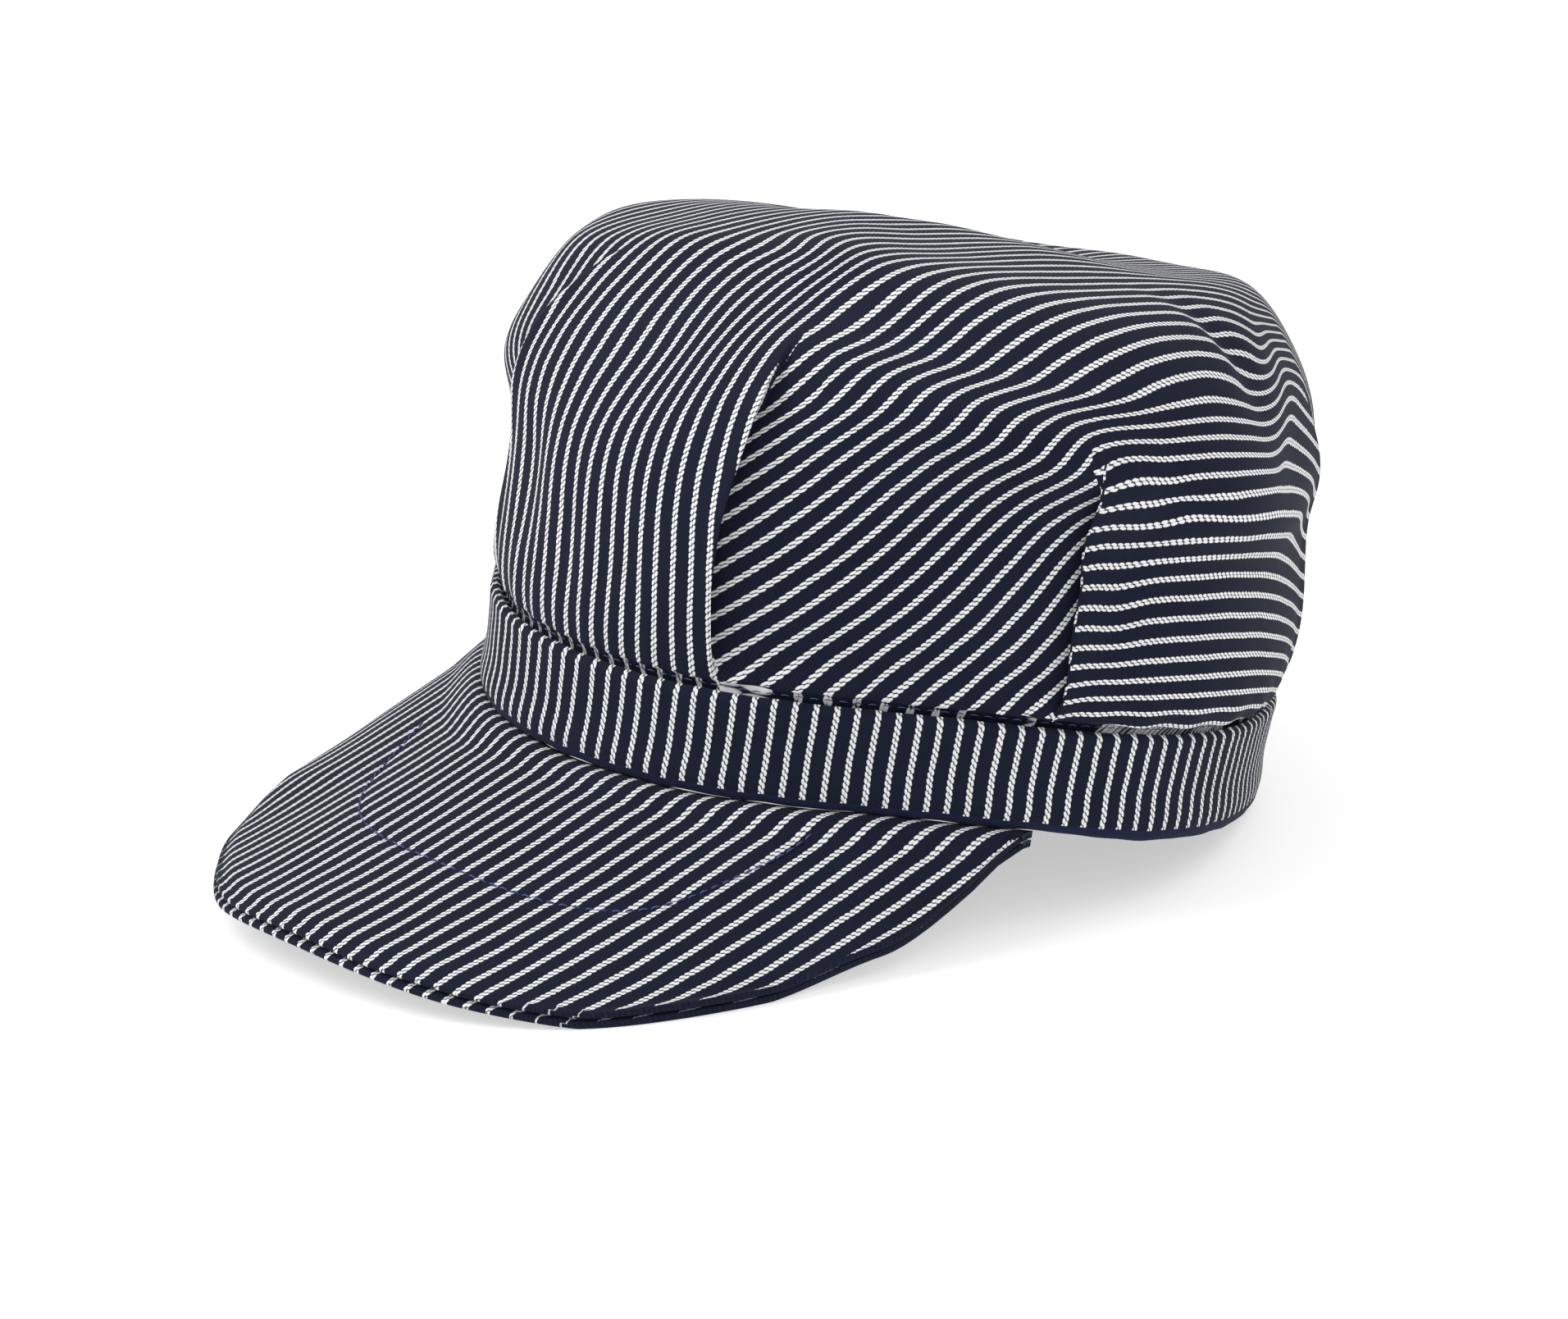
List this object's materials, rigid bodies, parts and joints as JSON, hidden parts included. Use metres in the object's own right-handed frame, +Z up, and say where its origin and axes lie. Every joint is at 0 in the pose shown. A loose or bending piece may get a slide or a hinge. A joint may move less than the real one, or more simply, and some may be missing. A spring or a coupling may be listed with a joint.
{
  "type": "railroad engineer cap",
  "caption": "Striped cloth cap with a tall pleated crown, a headband and a short two-layer peak, open underneath for the head.",
  "frame": {"origin": "middle of the cap's bounding box, on the surface it rests on", "axes": "-Y towards the front of the cap, +X towards the wearer's left, +Z up"},
  "size_m": [0.2136, 0.2976, 0.1461],
  "materials": {
    "crown_cloth": "matt striped twill",
    "band_cloth": "matt striped twill",
    "visor_top_cloth": "matt striped twill",
    "visor_under_cloth": "matt striped twill"
  },
  "bodies": {
    "root": {"crown": "crown_cloth", "band": "band_cloth", "visor_top": "visor_top_cloth", "visor_under": "visor_under_cloth"}
  },
  "joints": []
}
